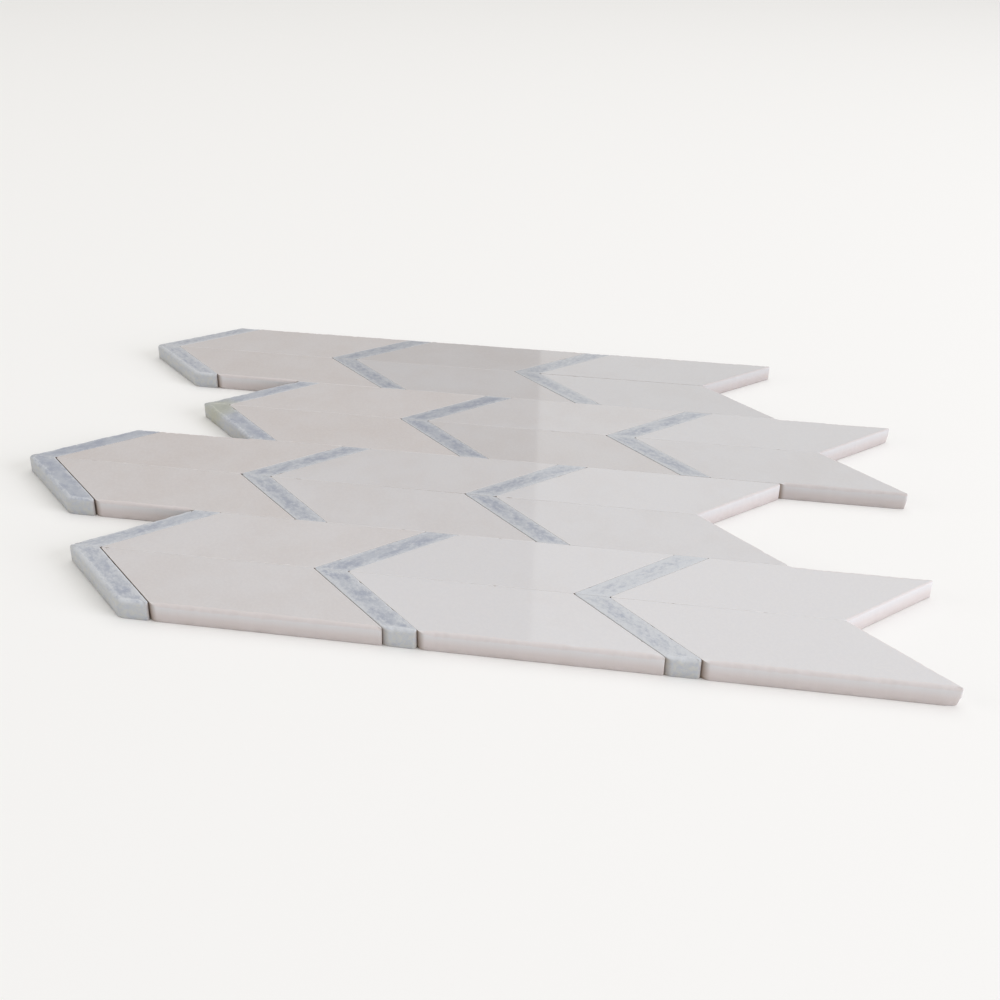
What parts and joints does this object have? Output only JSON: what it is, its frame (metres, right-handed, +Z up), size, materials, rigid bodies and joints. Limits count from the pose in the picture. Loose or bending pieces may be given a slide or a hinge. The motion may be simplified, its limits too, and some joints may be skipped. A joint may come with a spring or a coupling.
{
  "type": "marble mosaic tile",
  "caption": "Flat mesh-mounted mosaic sheet of polished marble chevrons, broad white ones and narrow blue-grey ones in staggered rows with interlocking ends.",
  "frame": {"origin": "middle of the sheet, on the surface it lies on", "axes": "+X along the rows, away from the way the chevrons point; +Y across the rows to the back; +Z up, out of the polished face"},
  "size_m": [0.4081, 0.3044, 0.008],
  "materials": {
    "white_marble": "polished on the face, tumbled edges",
    "blue_grey_marble": "polished on the face, tumbled edges",
    "glass_fibre_net": "open woven net set in clear glue"
  },
  "bodies": {
    "root": {"mesh_backing": "glass_fibre_net", "row1_strip1_back": "blue_grey_marble", "row1_strip1_front": "blue_grey_marble", "row1_strip2_back": "blue_grey_marble", "row1_strip2_front": "blue_grey_marble", "row1_strip3_back": "blue_grey_marble", "row1_strip3_front": "blue_grey_marble", "row1_white1_back": "white_marble", "row1_white1_front": "white_marble", "row1_white2_back": "white_marble", "row1_white2_front": "white_marble", "row1_white3_back": "white_marble", "row1_white3_front": "white_marble", "row2_strip1_back": "blue_grey_marble", "row2_strip1_front": "blue_grey_marble", "row2_strip2_back": "blue_grey_marble", "row2_strip2_front": "blue_grey_marble", "row2_strip3_back": "blue_grey_marble", "row2_strip3_front": "blue_grey_marble", "row2_white1_back": "white_marble", "row2_white1_front": "white_marble", "row2_white2_back": "white_marble", "row2_white2_front": "white_marble", "row2_white3_back": "white_marble", "row2_white3_front": "white_marble", "row3_strip1_back": "blue_grey_marble", "row3_strip1_front": "blue_grey_marble", "row3_strip2_back": "blue_grey_marble", "row3_strip2_front": "blue_grey_marble", "row3_strip3_back": "blue_grey_marble", "row3_strip3_front": "blue_grey_marble", "row3_white1_back": "white_marble", "row3_white1_front": "white_marble", "row3_white2_back": "white_marble", "row3_white2_front": "white_marble", "row3_white3_back": "white_marble", "row3_white3_front": "white_marble", "row4_strip1_back": "blue_grey_marble", "row4_strip1_front": "blue_grey_marble", "row4_strip2_back": "blue_grey_marble", "row4_strip2_front": "blue_grey_marble", "row4_strip3_back": "blue_grey_marble", "row4_strip3_front": "blue_grey_marble", "row4_white1_back": "white_marble", "row4_white1_front": "white_marble", "row4_white2_back": "white_marble", "row4_white2_front": "white_marble", "row4_white3_back": "white_marble", "row4_white3_front": "white_marble"}
  },
  "joints": []
}
